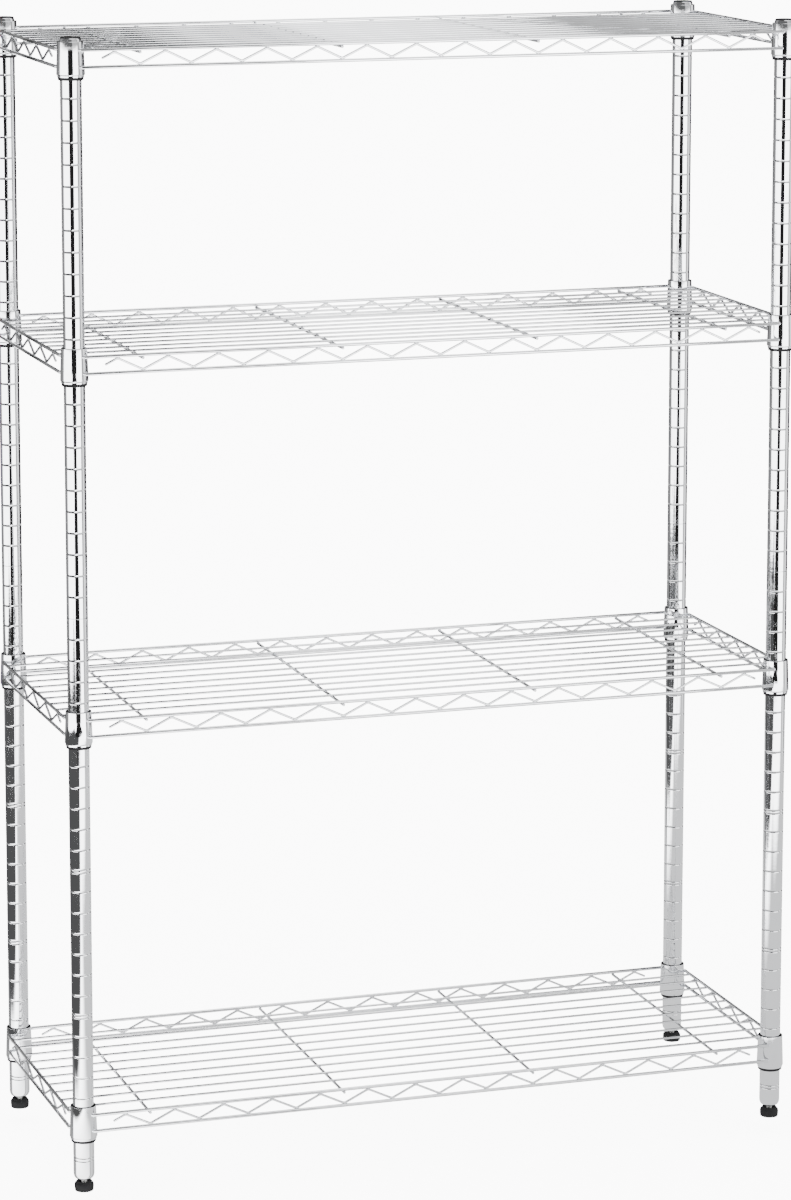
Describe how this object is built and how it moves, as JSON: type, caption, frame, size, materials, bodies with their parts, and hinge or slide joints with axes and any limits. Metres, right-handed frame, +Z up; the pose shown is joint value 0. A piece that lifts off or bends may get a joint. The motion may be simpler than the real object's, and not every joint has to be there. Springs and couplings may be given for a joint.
{
  "type": "wire shelving rack",
  "caption": "Chrome wire shelving rack: grooved tube posts carry lift-off wire shelves on split sleeve clips, and stand on levelling feet.",
  "frame": {"origin": "on the floor at the middle of the footprint", "axes": "+X along the length of the shelves to the right, +Y from front to back, +Z up along the posts"},
  "size_m": [0.9226, 0.364, 1.3813],
  "materials": {
    "chrome": "bright chrome plate over steel tube and wire",
    "black_plastic": "black moulded plastic with a slight sheen",
    "stud_steel": "zinc plated thread"
  },
  "bodies": {
    "posts": {"post_lower_fl": "chrome", "post_upper_fl": "chrome", "post_cap_fl": "black_plastic", "post_lower_fr": "chrome", "post_upper_fr": "chrome", "post_cap_fr": "black_plastic", "post_lower_bl": "chrome", "post_upper_bl": "chrome", "post_cap_bl": "black_plastic", "post_lower_br": "chrome", "post_upper_br": "chrome", "post_cap_br": "black_plastic", "clip_4_fl_back": "black_plastic", "clip_4_fl_front": "black_plastic", "clip_4_fr_back": "black_plastic", "clip_4_fr_front": "black_plastic", "clip_4_bl_back": "black_plastic", "clip_4_bl_front": "black_plastic", "clip_4_br_back": "black_plastic", "clip_4_br_front": "black_plastic", "clip_3_fl_back": "black_plastic", "clip_3_fl_front": "black_plastic", "clip_3_fr_back": "black_plastic", "clip_3_fr_front": "black_plastic", "clip_3_bl_back": "black_plastic", "clip_3_bl_front": "black_plastic", "clip_3_br_back": "black_plastic", "clip_3_br_front": "black_plastic", "clip_2_fl_back": "black_plastic", "clip_2_fl_front": "black_plastic", "clip_2_fr_back": "black_plastic", "clip_2_fr_front": "black_plastic", "clip_2_bl_back": "black_plastic", "clip_2_bl_front": "black_plastic", "clip_2_br_back": "black_plastic", "clip_2_br_front": "black_plastic", "clip_1_fl_back": "black_plastic", "clip_1_fl_front": "black_plastic", "clip_1_fr_back": "black_plastic", "clip_1_fr_front": "black_plastic", "clip_1_bl_back": "black_plastic", "clip_1_bl_front": "black_plastic", "clip_1_br_back": "black_plastic", "clip_1_br_front": "black_plastic"},
    "shelf_4": {"shelf_frame_4": "chrome", "shelf_deck_4": "chrome"},
    "shelf_3": {"shelf_frame_3": "chrome", "shelf_deck_3": "chrome"},
    "shelf_2": {"shelf_frame_2": "chrome", "shelf_deck_2": "chrome"},
    "shelf_1": {"shelf_frame_1": "chrome", "shelf_deck_1": "chrome"},
    "foot_fl": {"foot_pad_fl": "black_plastic", "foot_stud_fl": "stud_steel"},
    "foot_fr": {"foot_pad_fr": "black_plastic", "foot_stud_fr": "stud_steel"},
    "foot_bl": {"foot_pad_bl": "black_plastic", "foot_stud_bl": "stud_steel"},
    "foot_br": {"foot_pad_br": "black_plastic", "foot_stud_br": "stud_steel"}
  },
  "joints": [
    {"name": "shelf_4_lift", "type": "slide", "parent": "posts", "child": "shelf_4", "axis": [0, 0, 1], "range_m": [0, 0.436]},
    {"name": "shelf_3_lift", "type": "slide", "parent": "posts", "child": "shelf_3", "axis": [0, 0, 1], "range_m": [0, 0.384]},
    {"name": "shelf_2_lift", "type": "slide", "parent": "posts", "child": "shelf_2", "axis": [0, 0, 1], "range_m": [0, 0.308]},
    {"name": "shelf_1_lift", "type": "slide", "parent": "posts", "child": "shelf_1", "axis": [0, 0, 1], "range_m": [0, 0.08]},
    {"name": "foot_fl_screw", "type": "slide", "parent": "posts", "child": "foot_fl", "axis": [0, 0, -1], "range_m": [-0.002, 0.016]},
    {"name": "foot_fr_screw", "type": "slide", "parent": "posts", "child": "foot_fr", "axis": [0, 0, -1], "range_m": [-0.002, 0.016]},
    {"name": "foot_bl_screw", "type": "slide", "parent": "posts", "child": "foot_bl", "axis": [0, 0, -1], "range_m": [-0.002, 0.016]},
    {"name": "foot_br_screw", "type": "slide", "parent": "posts", "child": "foot_br", "axis": [0, 0, -1], "range_m": [-0.002, 0.016]}
  ]
}
